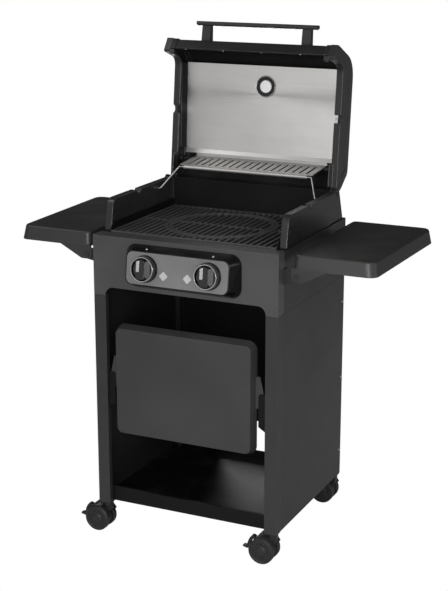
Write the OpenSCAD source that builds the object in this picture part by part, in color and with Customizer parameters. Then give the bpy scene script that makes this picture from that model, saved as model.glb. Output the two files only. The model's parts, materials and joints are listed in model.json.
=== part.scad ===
// Gas barbecue grill with two burners on a four-caster cart.
// Floor at z = 0, cart centred on x = 0, front towards -y. Drawn with the lid open.

/* [Cart] */
// Width of the cart over its side panels
cart_w = 560; // [530:5:600]
// Depth of the cart from the fascia to its rear edge
cart_d = 500; // [490:5:520]
// Height of the fascia's top edge above the floor
work_h = 890; // [860:5:930]
// Height of the upper section, from its seam to the fascia's top edge
upper_h = 171; // [168:1:180]
// Height of the fascia's plain band above the cabinet opening
band_h = 147; // [144:1:150]
// Depth of the ledge behind the fascia's top edge
ledge_d = 46; // [40:1:46]
// Thickness of the cart's sheet steel
sheet = 1.5; // [1.2:0.1:2]
// Width of the front posts
post_w = 36; // [34:1:42]
// Depth of the front posts' side returns
post_d = 38; // [36:1:46]
// Height of the notch at the foot of the rear panel
notch_h = 124; // [60:2:200]
// Height of the bottom shelf's front lip
lip_h = 42; // [30:1:60]
// Setback of the bottom shelf's front lip behind the posts' faces
lip_inset = 17; // [16:1:30]

/* [Controls] */
// Width of the control housing where it meets the fascia
console_w = 348; // [340:2:360]
// Height of the control housing where it meets the fascia
console_h = 122; // [118:1:124]
// Reach of the control housing's face in front of the fascia, at its middle
console_reach = 40; // [36:1:46]
// Backward tilt of the control housing's face
console_tilt = 8; // [5:1:12]
// Taper of the control housing's sides on each edge
console_taper = 20; // [12:1:22]
// Distance between the two knobs
knob_pitch = 190; // [180:2:200]
// Diameter of a knob's skirt
knob_d = 70; // [60:1:74]
// Height of a knob's grip above its skirt
grip_h = 9; // [5:1:16]
// Travel of a knob when it is pushed in
knob_push = 3; // [2:0.5:4]
// Diameter of a valve stem
stem_d = 8; // [6:0.5:10]
// Outer diameter of the manifold pipe
pipe_d = 14; // [12:0.5:16]

/* [Firebox] */
// Outer width over the two side castings
firebox_w = 552; // [544:1:556]
// Thickness of a side casting
casting_t = 20; // [18:1:22]
// Wall thickness inside the hollow castings
casting_wall = 4; // [3:0.5:5]
// Height of the side castings above the fascia's top edge
casting_h = 88; // [84:1:92]
// Depth of the firebox tub below the fascia's top edge
tub_h = 124; // [120:1:128]
// Height of the cooking surface above the fascia's top edge
grate_z = 4; // [2:1:8]
// Thickness of the grate castings
grate_t = 12; // [9:1:14]
// Distance between neighbouring grate bars
bar_pitch = 19; // [16:0.5:24]
// Width of a grate bar at its top
bar_w = 7; // [5:0.5:9]
// Diameter of the round grate insert
insert_d = 300; // [260:5:320]
// Outer diameter of a burner tube
burner_d = 30; // [24:1:32]
// Number of flame ports along each side of a burner
port_count = 10; // [6:1:14]

/* [Lid] */
// Outer width over the lid's end castings
lid_w = 536; // [530:1:540]
// Height of the lid's roof above the fascia's top edge when the lid is shut
lid_h = 172; // [168:1:180]
// Opening angle of the lid
lid_open = 96; // [90:1:100]
// Diameter of the hinge pins
hinge_d = 8; // [6:0.5:9]
// Gap between the shut lid and the side castings
lid_gap = 3; // [2:0.5:4]
// Length of the handle bar
handle_l = 378; // [360:2:420]
// Reach of the handle bar in front of the lid's front face
handle_reach = 63; // [50:1:70]
// Diameter of the temperature gauge
gauge_d = 60; // [50:1:66]

/* [Warming rack] */
// Width of the warming rack's plate
rack_w = 424; // [400:2:430]
// Depth of the warming rack's plate
rack_d = 128; // [120:1:132]
// Number of slots in the warming rack
slot_count = 18; // [10:1:20]
// Diameter of the rack's leg wire
wire_d = 5; // [4:0.5:6]

/* [Griddle plate] */
// Width of the griddle plate's flat
griddle_w = 412; // [390:2:420]
// Height of the griddle plate's flat as it hangs
griddle_h = 308; // [280:2:320]
// Depth of the griddle plate, from its flat to its rim
griddle_depth = 28; // [20:1:32]
// Wall thickness of the griddle plate
griddle_t = 5; // [4:0.5:6]

/* [Side shelves] */
// Length of a shelf, outwards from the cart
shelf_l = 222; // [200:2:240]
// Extra length of a shelf at its back corner
shelf_skew = 12; // [0:2:30]
// Depth of a shelf, front to back
shelf_d = 453; // [430:1:458]
// Height of a shelf's skirt
skirt_h = 40; // [34:1:46]
// Wall thickness of a shelf
shelf_t = 2.5; // [2:0.1:3]
// Diameter of the shelf pivot pins
shelf_pin_d = 8; // [6:0.5:10]

/* [Casters] */
// Diameter of the caster wheels
wheel_d = 75; // [70:1:78]
// Width of one caster wheel
wheel_w = 18; // [16:1:20]
// Offset of the wheel axle from the swivel axis
trail = 24; // [18:1:28]
// Diameter of the caster stems
caster_stem_d = 11; // [10:0.5:12]
// Diameter of the wheel axles
axle_d = 8; // [6:0.5:9]
// Number of slots in a wheel's outer face
spoke_count = 18; // [12:1:20]

/* [Clearances] */
// Radial clearance of pins, stems and axles in their bores
run_fit = 0.05; // [0.02:0.01:0.08]
// Gap between pieces that sit beside each other
seat_gap = 0.3; // [0.2:0.05:0.4]
// Width of the joint lines between the cart's sheets
seam = 0.6; // [0.4:0.1:0.9]

/* [Hidden] */
$fn = 32;

half_w = cart_w / 2;
seam_z = work_h - upper_h;
opening_x = half_w - post_w;
opening_r = upper_h - band_h;
socket_t = 3;
base_z = 90;
socket_z = base_z - socket_t;
stem_inset = 18;
back_return = 30;

// Control housing: height of its middle, size of its face and place of the knobs
console_z = work_h - 74;
console_wall = 2.5;
console_rim = 0.1;
console_r = 30;
face_z = console_z + 4;
face_w = console_w - 2 * console_taper;
face_h = console_h - 1.5 * console_taper;
face_r = 16;
bezel_t = 2.5;
knob_base = bezel_t + knob_push + 1;
skirt_l = 15;
grip_w = 26;
knob_top = knob_base + skirt_l + grip_h;
valve_back = 70;
valve_l = 36;
valve_w = 24;
jet_y = valve_back * cos(console_tilt) - console_reach;
jet_z = face_z - valve_back * sin(console_tilt);

// Firebox: the tub lies between the castings
casting_x = firebox_w / 2 - casting_t;
tub_gap = 2;
tub_x = casting_x - tub_gap;
tub_t = 2;
tub_front = ledge_d + 2;
tub_back = 446;
hole_fit = 0.3;
tub_rim = 24;
straight_h = 98;
tamer_z = -48;
drain_w = 100;
spark_x = 30;
spark_up = 8;
tub_mid = (tub_front + tub_back) / 2;
casting_front = 62;
casting_back = 484;
notch_y = 228;
notch_r = 12;
burner_z = jet_z;
burner_front = jet_y + 6;
burner_back = tub_back - 26;

// Hinge axis of the lid, and the closed outline of its sheet from lip to rear edge
hinge_y = 440;
hinge_z = 80;
boss_r = hinge_d / 2 + 11;
mouth_z = casting_h + lid_gap;
skin_t = 1.5;
lid_path = [[50, 28, 0], [49, 18, 1.6], [22, 41, 7], [65, lid_h - 2, 66], [386, lid_h, 24],
    [430, 120, 30], [434, 92, 0]];
end_t = 20;
end_x = lid_w / 2 - end_t;
end_proud = 2.5;
handle_z = 78;
handle_x = 158;
handle_t = 13;
gauge_x = 14;
gauge_y = 148;
liner_y0 = 89;
liner_y1 = 346;
liner_x = 243;
liner_slope = 0.05;
function liner_z(y) = lid_h - 43 + (y - liner_y0) * liner_slope;
gauge_base = lid_h - 1.25;
gauge_low = liner_z(gauge_y) - 2 - gauge_base;

// Warming rack: its rear pins turn in the lid, its legs on the firebox.
// The legs are as long as the rear pins' arm on the lid, so that the rack stays level.
rack_front = [398, 130];
rack_rear = [495, 138];
rack_arm = rack_rear - [hinge_y, hinge_z];
leg_foot = rack_front - rack_arm;
rack_tilt = atan2(rack_rear[1] - rack_front[1], rack_rear[0] - rack_front[0]);
rack_l = norm(rack_rear - rack_front);
pin_in_lid = shut(rack_rear);

// Griddle plate and its hangers
griddle_z = work_h - 259 - griddle_h / 2;
griddle_face = -14;
flare = 9;
ear_x = opening_x - 9;
ear_y = griddle_face + griddle_depth - griddle_t;
ear_top = work_h - 349;
ear_low = work_h - 440;
hanger_top = work_h - 396;
hanger_low = work_h - 505;
hanger_t = 2;

// Side shelves
shelf_x = half_w + 30;
shelf_front = 34;
shelf_top = work_h - 4;
shelf_flare = 6;
shelf_bevel = 4;
shelf_r = 26;
pivot_x = half_w + 37;
pivot_z = work_h - 66;
bracket_t = 2.5;
gusset_t = 3;
gusset_y = shelf_front - shelf_flare + 0.2;
pin_l = gusset_t + 2 * seat_gap + bracket_t + 4;

// Overall reach in front of the fascia and behind it, which centre the grill on y = 0
front_reach = console_reach + (knob_top + 0.8) * cos(console_tilt) + knob_d * 0.27 * sin(console_tilt);
lid_skin = rounded(lid_path);
end_outline = lid_outline();
back_reach = max(concat([for (p = end_outline) swung(p)[0]],
    [swung([gauge_y - gauge_d / 2 + 2, gauge_base + 14])[0]]));
front_y = (front_reach - back_reach) / 2;

// ---- Plane geometry -------------------------------------------------------------------

// Open-lid place of a point of the shut lid, and the other way round
function swung(p) = let (d = [p[0] - hinge_y, p[1] - hinge_z])
    [hinge_y + d[0] * cos(lid_open) + d[1] * sin(lid_open),
     hinge_z - d[0] * sin(lid_open) + d[1] * cos(lid_open)];
function shut(p) = let (d = [p[0] - hinge_y, p[1] - hinge_z])
    [hinge_y + d[0] * cos(lid_open) - d[1] * sin(lid_open),
     hinge_z + d[0] * sin(lid_open) + d[1] * cos(lid_open)];

function unit(v) = v / norm(v);

// Arc that rounds corner b between a and c
function corner(a, b, c, r, n = 6) =
    let (u = unit(a - b), v = unit(c - b),
         half = acos(u * v) / 2,
         centre = b + unit(u + v) * r / sin(half),
         from = b + u * r / tan(half) - centre,
         to = b + v * r / tan(half) - centre,
         start = atan2(from[1], from[0]),
         turn = atan2(from[0] * to[1] - from[1] * to[0], from * to))
    [for (i = [0 : n]) centre + r * [cos(start + turn * i / n), sin(start + turn * i / n)]];

// Path through [y, z, radius] corners, with each corner rounded
function rounded(p, closed = false) =
    let (n = len(p))
    [for (i = [0 : n - 1])
        let (b = [p[i][0], p[i][1]],
             a = p[(i + n - 1) % n], c = p[(i + 1) % n],
             plain = p[i][2] == 0 || (!closed && (i == 0 || i == n - 1)))
        each plain ? [b] : corner([a[0], a[1]], b, [c[0], c[1]], p[i][2])];

// The same path moved sideways by d, to its left
function beside(p, d, closed = false) =
    let (n = len(p))
    [for (i = [0 : n - 1])
        let (a = (i == 0 && !closed) ? p[1] - p[0] : p[i] - p[(i + n - 1) % n],
             b = (i == n - 1 && !closed) ? p[i] - p[i - 1] : p[(i + 1) % n] - p[i],
             u = unit(a), v = unit(b), m = unit(u + v))
        p[i] + [-m[1], m[0]] * d / (m * u)];

function strip(p, d) = concat(p, [for (i = [len(p) - 1 : -1 : 0]) beside(p, d)[i]]);

// Outline of a lid end: nose, mouth edge that follows the side casting, and the sheet's line set outwards
function lid_outline() = let (skin = rounded(lid_path))
    concat(rounded([[19, 36, 0], [58, 13, 6], [casting_front + 15, mouth_z, 28], [428, mouth_z, 0]]),
           [for (i = [len(skin) - 1 : -1 : 12]) beside(skin, end_proud)[i]]);

// ---- Solids shared by several pieces --------------------------------------------------

module at_cart() translate([0, front_y, 0]) children();
module at_top() translate([0, front_y, work_h]) children();
module both_sides() for (s = [-1, 1]) scale_x(s) children();
module scale_x(s) if (s > 0) children(); else mirror([1, 0, 0]) children();
module lid_swing() at_top() translate([0, hinge_y, hinge_z]) rotate([-lid_open, 0, 0])
    translate([0, -hinge_y, -hinge_z]) children();

// Extrudes a (y, z) shape along x from x0 by w
module along_x(x0, w) translate([x0, 0, 0]) rotate([90, 0, 90]) linear_extrude(w) children();
// Extrudes an (x, z) shape along y from y0 by d
module along_y(y0, d) translate([0, y0 + d, 0]) rotate([90, 0, 0]) linear_extrude(d) children();

module box(from, to) translate(from) cube(to - from);
module rod_x(p, r, x0, x1) translate([x0, p[0], p[1]]) rotate([0, 90, 0])
    cylinder(r = r, h = x1 - x0);

module round_rect(w, h, r) {
    square([w - 2 * r, h], center = true);
    square([w, h - 2 * r], center = true);
    for (x = [-1, 1], y = [-1, 1]) translate([x * (w / 2 - r), y * (h / 2 - r)]) circle(r);
}

// Local z points out of the console's face, local y up it; origin at the knob's height
module on_face(x) at_cart() translate([x, -console_reach, face_z])
    rotate([90 - console_tilt, 0, 0]) children();

// ---- Cart -----------------------------------------------------------------------------

module front_panel() color("dimgray") at_cart() difference() {
    union() {
        box([-half_w, 0, seam_z], [half_w, sheet, work_h]);
        box([-half_w, 0, work_h - sheet], [half_w, post_d, work_h]);
        box([-half_w + sheet, 0, work_h - sheet], [half_w - sheet, ledge_d, work_h]);
        both_sides() box([half_w - sheet, 0, seam_z], [half_w, post_d, work_h]);
        // turned-in edges round the opening and along the ledge's back
        box([-opening_x + opening_r, 0, work_h - band_h],
            [opening_x - opening_r, 12, work_h - band_h + sheet]);
        box([-half_w + sheet, ledge_d - sheet, work_h - 12], [half_w - sheet, ledge_d, work_h]);
    }
    along_y(-1, sheet + 2) translate([0, seam_z]) {
        square([2 * (opening_x - opening_r), 2 * opening_r], center = true);
        for (s = [-1, 1]) translate([s * (opening_x - opening_r), 0]) circle(opening_r);
    }
    for (s = [-1, 1]) translate([s * knob_pitch / 2, -1, face_z - 6]) rotate([-90, 0, 0])
        cylinder(r = 28, h = sheet + 2);
    for (z = [136, 154]) rod_x([10, work_h - z], 2.5, -half_w - 1, half_w + 1);
}

// Folded channel: face, outer return, inner return with a hem, foot plate
module post() {
    top_z = seam_z - seam;
    box([opening_x, 0, base_z], [half_w, sheet, top_z]);
    box([half_w - sheet, 0, base_z], [half_w, post_d, top_z]);
    box([opening_x, 0, base_z], [opening_x + sheet, lip_inset - 1, top_z]);
    box([opening_x, 0, base_z], [half_w, post_d, base_z + sheet]);
    box([half_w - 12, post_d - sheet, base_z], [half_w, post_d, top_z]);
}

module post_with_stem_hole() difference() {
    post();
    translate([half_w - stem_inset, stem_inset, 0]) cylinder(r = socket_r() + seat_gap, h = base_z + 20);
}

module left_post() color("dimgray") at_cart() scale_x(-1) post_with_stem_hole();
module right_post() color("dimgray") at_cart() post_with_stem_hole();

// Outer skin with bottom flange and a rear corner channel
module side_panel() difference() {
    union() {
        box([half_w - sheet, post_d + seam, base_z], [half_w, cart_d, seam_z - seam]);
        box([half_w - back_return, cart_d - sheet, base_z], [half_w, cart_d, seam_z - seam]);
        box([half_w - back_return, cart_d - back_return, base_z],
            [half_w - back_return + sheet, cart_d, seam_z - seam]);
        box([half_w - back_return, post_d + seam, base_z], [half_w, cart_d, base_z + sheet]);
        box([half_w - 14, post_d + seam, base_z], [half_w, post_d + seam + sheet, seam_z - seam]);
    }
    translate([half_w - stem_inset, cart_d - stem_inset, 0])
        cylinder(r = socket_r() + seat_gap, h = base_z + 20);
}

module left_side_panel() color("#353432") at_cart() scale_x(-1) side_panel();
module right_side_panel() color("#353432") at_cart() side_panel();

// Upper skins; their turned-in top edges carry the firebox
module upper_side_panels() color("#353432") at_cart() difference() {
    both_sides() {
        box([half_w - sheet, post_d + seam, seam_z], [half_w, cart_d, work_h]);
        box([tub_x + 8, ledge_d + seam, work_h - sheet], [half_w, cart_d, work_h]);
        box([half_w - 20, post_d + seam, seam_z], [half_w, cart_d, seam_z + sheet]);
    }
    rod_x([46, work_h - 131], 2.5, -half_w - 1, half_w + 1);
    // the gas pipe's way out on the left
    rod_x([inlet_y, manifold_z], inlet_r, -half_w - 1, -half_w + sheet + 1);
}

// Closes the upper section and the cabinet's upper half; the grease tray comes out of its slot
module rear_panel() color("#2e2d2c") at_cart() difference() {
    low_z = base_z;
    low_x = half_w - back_return - seat_gap;
    union() {
        box([-half_w + sheet, cart_d - sheet, seam_z + sheet], [half_w - sheet, cart_d, work_h - sheet]);
        box([-low_x, cart_d - sheet, low_z], [low_x, cart_d, seam_z + 2 * sheet]);
        box([-low_x, cart_d - 14, low_z], [low_x, cart_d, low_z + sheet]);
        box([-tub_x - 8, cart_d - 40, work_h - sheet], [tub_x + 8, cart_d, work_h]);
        box([-tub_x - 8, cart_d - sheet, work_h - 2 * sheet], [tub_x + 8, cart_d, work_h]);
    }
    // notch with slanted sides above the bottom shelf's lip
    along_y(cart_d - 15, 16) polygon([[-8, low_z + notch_h], [8, low_z + notch_h],
        [8 + notch_h * 1.18, low_z], [8 + notch_h * 1.18, low_z - 1], [-8 - notch_h * 1.18, low_z - 1],
        [-8 - notch_h * 1.18, low_z]]);
    box([-tray_w / 2 - 16, cart_d - 20, tray_z - 40], [tray_w / 2 + 16, cart_d + 1, tray_z + tray_lip + 8]);
    for (s = [-1, 1], i = [0 : 3]) translate([s * 225, cart_d - 1, work_h - 60 - 16 * i])
        cube([50, 6, 6], center = true);
}

module bottom_shelf() color("#2c2b2a") at_cart() {
    floor_z = base_z + 7;
    wide = half_w - sheet - seat_gap;
    narrow = opening_x - seat_gap;
    back = half_w - back_return - seat_gap;
    box([-narrow, lip_inset, floor_z], [narrow, post_d + 4, floor_z + sheet]);
    box([-wide, post_d + 4, floor_z], [wide, cart_d - back_return - 1, floor_z + sheet]);
    box([-back, cart_d - back_return - 1, floor_z], [back, cart_d - 2, floor_z + sheet]);
    box([-narrow, lip_inset, floor_z - 2], [narrow, lip_inset + sheet, floor_z - 2 + lip_h]);
    box([-narrow, lip_inset, floor_z - 2 + lip_h - sheet], [narrow, lip_inset + 9, floor_z - 2 + lip_h]);
    box([-back, cart_d - 2 - sheet, floor_z], [back, cart_d - 2, floor_z + 20]);
    both_sides() box([wide - sheet, post_d + 4, base_z + sheet],
        [wide, cart_d - back_return - 1, floor_z + sheet]);
    both_sides() for (y = [150, 260, 370]) box([wide - 14, y, base_z + sheet], [wide, y + 2, floor_z]);
}

// Pocket on each post that takes an ear of the griddle plate
module griddle_hangers() color("#2a2a2a") at_cart() both_sides() {
    x0 = opening_x;
    x1 = opening_x - 22;
    front = ear_y - hanger_t - 1;
    back = ear_y + griddle_t + 1;
    along_y(front, hanger_t) polygon(rounded([[x0, hanger_low, 0], [x1, hanger_low + 14, 3],
        [x1, hanger_top, 9], [x0, hanger_top, 0]], true));
    box([x0 - hanger_t, front, hanger_low + 8], [x0, back + hanger_t, hanger_top]);
    box([x1 + 6, back, hanger_low + 20], [x0, back + hanger_t, hanger_top]);
    box([ear_x - 7, front, ear_low - 4], [x0, back + hanger_t, ear_low]);
}

function socket_r() = caster_stem_d / 2 + 3;

module caster_sockets() color("#1c1c1c") at_cart()
    for (s = [-1, 1], y = [stem_inset, cart_d - stem_inset]) difference() {
        translate([s * (half_w - stem_inset), y, 0]) union() {
            translate([0, 0, socket_z + socket_t / 2]) cube([34, 34, socket_t], center = true);
            translate([0, 0, socket_z]) cylinder(r = socket_r(), h = 34);
        }
        translate([s * (half_w - stem_inset), y, socket_z - 1])
            cylinder(r = caster_stem_d / 2 + run_fit, h = 40);
    }

// ---- Controls and gas train -----------------------------------------------------------

module console_shell(inset) hull() {
    translate([0, inset > 0 ? 1 : 0, console_z]) rotate([90, 0, 0]) linear_extrude(console_rim)
        round_rect(console_w - 2 * inset, console_h - 2 * inset, console_r - inset);
    translate([0, -console_reach, face_z]) rotate([90 - console_tilt, 0, 0])
        translate([0, 0, -0.1 - inset]) linear_extrude(console_rim)
        round_rect(face_w - 2 * inset, face_h - 2 * inset, face_r - inset);
}

module control_housing() color("#55595a") difference() {
    at_cart() difference() {
        console_shell(0);
        console_shell(console_wall);
    }
    for (s = [-1, 1]) on_face(s * knob_pitch / 2) translate([0, 0, -10]) cylinder(r = stem_d / 2 + 2, h = 20);
}

module knob_bezels() color("#161616") for (s = [-1, 1]) on_face(s * knob_pitch / 2)
    rotate_extrude($fn = 48) polygon([[stem_d / 2 + 2, 0], [knob_d / 2 + 2, 0],
        [knob_d / 2 + 1, bezel_t], [knob_d / 2 - 2, bezel_t], [knob_d / 2 - 3, 1.2], [stem_d / 2 + 2, 1.2]]);

// Bar with round ends that fit inside the knob's rim
module grip_shape(inset) intersection() {
    circle(knob_d / 2 - 8 - inset);
    square([grip_w - 2 * inset, knob_d], center = true);
}

// Skirt with a sunk face and a bar grip across it, with a blind bore for the valve stem
module knob(x) color("#1b1b1b") on_face(x) difference() {
    union() {
        rotate_extrude($fn = 48) polygon([[0, knob_base], [knob_d / 2, knob_base],
            [knob_d / 2 - 1.2, knob_base + skirt_l], [knob_d / 2 - 4, knob_base + skirt_l],
            [knob_d / 2 - 7, knob_base + skirt_l - 7], [0, knob_base + skirt_l - 7]]);
        translate([0, 0, knob_base + 4]) linear_extrude(skirt_l + grip_h - 4) grip_shape(0);
    }
    translate([0, 0, knob_base - 1]) cylinder(r = stem_d / 2 + run_fit, h = skirt_l - 2);
}

module knob_left() knob(-knob_pitch / 2);
module knob_right() knob(knob_pitch / 2);

// Bright rings on the rim and on the sunk face, and a bright strip on the grip
module knob_trim(x) color("silver") on_face(x) {
    translate([0, 0, knob_base + skirt_l]) rotate_extrude($fn = 48)
        polygon([[knob_d / 2 - 3.4, 0], [knob_d / 2 - 1.4, 0], [knob_d / 2 - 1.8, 1.2], [knob_d / 2 - 3, 1.2]]);
    translate([0, 0, knob_base + skirt_l - 7]) difference() {
        cylinder(r = knob_d / 2 - 9.5, h = 0.8, $fn = 48);
        translate([0, 0, -1]) cylinder(r = knob_d / 2 - 11, h = 3, $fn = 48);
        cube([grip_w + 1, knob_d, 6], center = true);
    }
    translate([-grip_w / 2 + 1.5, -knob_d * 0.27, knob_top]) cube([9, knob_d * 0.54, 0.8]);
}

module knob_left_trim() knob_trim(-knob_pitch / 2);
module knob_right_trim() knob_trim(knob_pitch / 2);

// The stem runs from inside the valve to the bottom of the knob's bore
module valve_stem(x) color("silver") on_face(x) {
    stem_low = valve_l - valve_back;
    translate([0, 0, stem_low - 14]) cylinder(r = stem_d / 2, h = knob_base + skirt_l - 4 - stem_low + 14);
    translate([0, 0, stem_low + 5 + knob_push]) cylinder(r = stem_d / 2 + 2.5, h = 2);
}

module valve_stem_left() valve_stem(-knob_pitch / 2);
module valve_stem_right() valve_stem(knob_pitch / 2);

manifold_y = 18;
manifold_z = jet_z - valve_w / 2 - pipe_d / 2 - 1;

module valves() color("goldenrod") for (s = [-1, 1]) {
    on_face(s * knob_pitch / 2) difference() {
        union() {
            translate([-valve_w / 2, -valve_w / 2, -valve_back]) cube([valve_w, valve_w, valve_l]);
            translate([0, 0, -valve_back + valve_l]) cylinder(r = 9, h = 4);
        }
        translate([0, 0, valve_l - valve_back - 15 - knob_push]) cylinder(r = stem_d / 2 + run_fit, h = 40);
    }
    at_cart() translate([s * knob_pitch / 2, 0, 0]) {
        translate([0, jet_y - 8, jet_z]) rotate([-90, 0, 0]) cylinder(r = 6, h = 10);
        translate([0, jet_y + 2, jet_z]) rotate([-90, 0, 0]) cylinder(r = 4.5, h = 12);
        difference() {
            translate([0, manifold_y, manifold_z]) cylinder(r = 5.5, h = pipe_d / 2 + 8);
            translate([-20, manifold_y, manifold_z]) rotate([0, 90, 0])
                cylinder(r = pipe_d / 2 + seat_gap, h = 40);
        }
    }
}

// Pipe across the back of the fascia, then back along the left side and out through it:
// the hose nipple sits on a nut outside the upper side panel
inlet_l = 23;
inlet_r = 6.5;
inlet_y = 72;
elbow_x = (tub_x + half_w - sheet) / 2;
nut_h = 6;
module elbow(y) box([-elbow_x - 8, y - 8, manifold_z - 8], [-elbow_x + 8, y + 8, manifold_z + 8]);
module manifold() color("#b8b2a0") at_cart() {
    translate([-elbow_x, manifold_y, manifold_z]) rotate([0, 90, 0])
        cylinder(r = pipe_d / 2, h = elbow_x + knob_pitch / 2 + 30);
    elbow(manifold_y);
    translate([-elbow_x, manifold_y, manifold_z]) rotate([-90, 0, 0])
        cylinder(r = inlet_r - 0.5, h = inlet_y - manifold_y);
    elbow(inlet_y);
    translate([-elbow_x, inlet_y, manifold_z]) rotate([0, -90, 0]) {
        cylinder(r = inlet_r - 0.5, h = half_w - elbow_x + 1);
        translate([0, 0, half_w - elbow_x + seat_gap]) cylinder(r = 10, h = nut_h, $fn = 6);
        translate([0, 0, half_w - elbow_x + seat_gap + 1]) cylinder(r = inlet_r, h = nut_h - 1 + inlet_l);
    }
    for (x = [-knob_pitch / 2 - 36, 30])
        box([x - 5, sheet, manifold_z - 4], [x + 5, manifold_y - pipe_d / 2 + 1, manifold_z + 4]);
}

// ---- Firebox --------------------------------------------------------------------------

tray_w = 300;
tray_lip = 18;
tray_z = work_h - tub_h - 26;
tray_front = 80;
tray_back = cart_d + 6;

module tub_hopper(grow) hull() {
    translate([0, tub_mid, -straight_h]) linear_extrude(0.1)
        square([2 * tub_x - 2 * grow, tub_back - tub_front - 2 * grow], center = true);
    translate([0, tub_mid, -tub_h + (grow > 0 ? -0.1 : 0)]) linear_extrude(0.1)
        square([drain_w - 2 * grow, drain_w - 2 * grow], center = true);
}

module firebox() color("#1a1a1a") at_top() {
    // upright walls, with the burner holes in front
    difference() {
        union() {
            box([-tub_x, tub_front, -straight_h], [tub_x, tub_front + tub_t, -1]);
            box([-tub_x, tub_back - tub_t, -straight_h], [tub_x, tub_back, hinge_z + 7]);
            both_sides() along_x(tub_x - tub_t, tub_t) polygon([[tub_front, -straight_h], [tub_back, -straight_h],
                [tub_back, tub_rim], [casting_front + 6, tub_rim], [tub_front, 4]]);
            both_sides() box([tub_x - tub_t, tub_front, 0], [firebox_w / 2, casting_back, sheet]);
            box([-tub_x, tub_back - tub_t, 0], [tub_x, casting_back, sheet]);
            // ledges that carry the grates and, below them, the flame tamers
            for (z = [grate_z - grate_t, tamer_z]) {
                box([-tub_x, tub_front, z - 2.5], [tub_x, tub_front + 12, z]);
                box([-tub_x, tub_back - 14, z - 2.5], [tub_x, tub_back, z]);
            }
        }
        for (s = [-1, 1]) translate([s * knob_pitch / 2, tub_front - 1, burner_z - work_h])
            rotate([-90, 0, 0]) {
                cylinder(r = burner_d / 2 + hole_fit, h = tub_t + 2);
                translate([spark_x, -spark_up, 0]) cylinder(r = 3 + hole_fit, h = tub_t + 2);
            }
    }
    // sloping floor down to the drain
    difference() {
        tub_hopper(0);
        tub_hopper(tub_t);
    }
}

casting_path = [[casting_front, sheet, 0], [casting_front + 17, casting_h, 26], [hinge_y + 13, casting_h, 10],
    [casting_back, sheet, 0]];

// Hollow side casting, open at its foot, with the spit notch and a forked hinge boss
module casting() {
    outline = rounded(casting_path, true);
    cavity = beside(outline, -casting_wall, true);
    x0 = casting_x;
    difference() {
        union() {
            difference() {
                along_x(x0, casting_t) polygon(outline);
                along_x(x0 + casting_wall, casting_t - 2 * casting_wall) difference() {
                    polygon(cavity);
                    translate([hinge_y, hinge_z]) circle(boss_r + casting_wall);
                    translate([notch_y, casting_h]) circle(notch_r + casting_wall);
                }
                box([x0 + casting_wall, casting_front + 8, -1],
                    [x0 + casting_t - casting_wall, casting_back - 8, 8]);
            }
            rod_x([hinge_y, hinge_z], boss_r, x0, x0 + casting_t);
        }
        rod_x([hinge_y, hinge_z], hinge_d / 2 + run_fit, x0 - 1, x0 + casting_t + 1);
        rod_x([notch_y, casting_h], notch_r, x0 - 1, x0 + casting_t + 1);
        rod_x(leg_foot, wire_d / 2 + run_fit, x0 - 1, x0 + casting_wall + 1);
        // fork slot for the lid's ear
        box([ear_x0 - 1.2, hinge_y - boss_r - 3, hinge_z - boss_r - 1],
            [ear_x0 + ear_w + 1.2, hinge_y + boss_r + 14, hinge_z + boss_r + 2]);
    }
}

ear_w = 6;
ear_x0 = casting_x + casting_t / 2 - ear_w / 2;

module firebox_left_casting() color("#242424") at_top() scale_x(-1) casting();
module firebox_right_casting() color("#242424") at_top() casting();

// Tube burners with a flared inlet over the jet and two rows of ports
module burners() color("#a9a59c") at_cart() for (s = [-1, 1]) translate([s * knob_pitch / 2, 0, burner_z]) {
    difference() {
        union() {
            translate([0, burner_front, 0]) rotate([-90, 0, 0])
                cylinder(r = burner_d / 2, h = burner_back - burner_front);
            translate([0, burner_back - 1, 0]) rotate([-90, 0, 0])
                cylinder(r = 4, h = tub_back - tub_t - burner_back + 1);
        }
        translate([0, burner_front - 1, 0]) rotate([-90, 0, 0])
            cylinder(r = burner_d / 2 - 1.2, h = burner_back - burner_front - 2);
        for (i = [0 : port_count - 1], t = [-1, 1])
            translate([0, 110 + i * (burner_back - 140) / (port_count - 1), 0]) rotate([0, t * 55, 0])
                cylinder(r = 1.6, h = burner_d, $fn = 12);
        for (t = [0 : 60 : 300]) translate([0, burner_front + 6.5, 0]) rotate([0, t, 0])
            translate([0, 0, burner_d / 2]) cube([4, 8, 8], center = true);
    }
}

// Folded roofs over the burners, standing on the firebox's front and rear ledges
module flame_tamers() color("#8f8a80") at_top() for (s = [-1, 1]) translate([s * knob_pitch / 2, 0, 0]) {
    peak = tamer_z + 28;
    eave = tamer_z;
    w = 62;
    difference() {
        along_y(tub_front + tub_t + 1, tub_back - tub_front - 2 * tub_t - 2)
            polygon([[-w, eave], [-w + 2, eave], [0, peak - 2], [w - 2, eave], [w, eave], [0, peak]]);
        for (i = [0 : 4], t = [-1, 1]) translate([t * w * 0.55, 100 + 65 * i, -34])
            cube([12, 34, 40], center = true);
    }
}

module electrodes() color("whitesmoke") at_top() for (s = [-1, 1])
    translate([s * knob_pitch / 2 + spark_x, 0, 0]) {
    z = burner_z - work_h + spark_up;
    translate([0, tub_front - 8, z]) rotate([-90, 0, 0]) cylinder(r = 3, h = 44, $fn = 16);
    translate([0, tub_front + 35, z]) rotate([-90, 0, 0]) cylinder(r = 1.1, h = 14, $fn = 16);
    translate([0, tub_front - 6, z]) rotate([-90, 0, 0]) cylinder(r = 6, h = 6 - seat_gap, $fn = 16);
}

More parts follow.
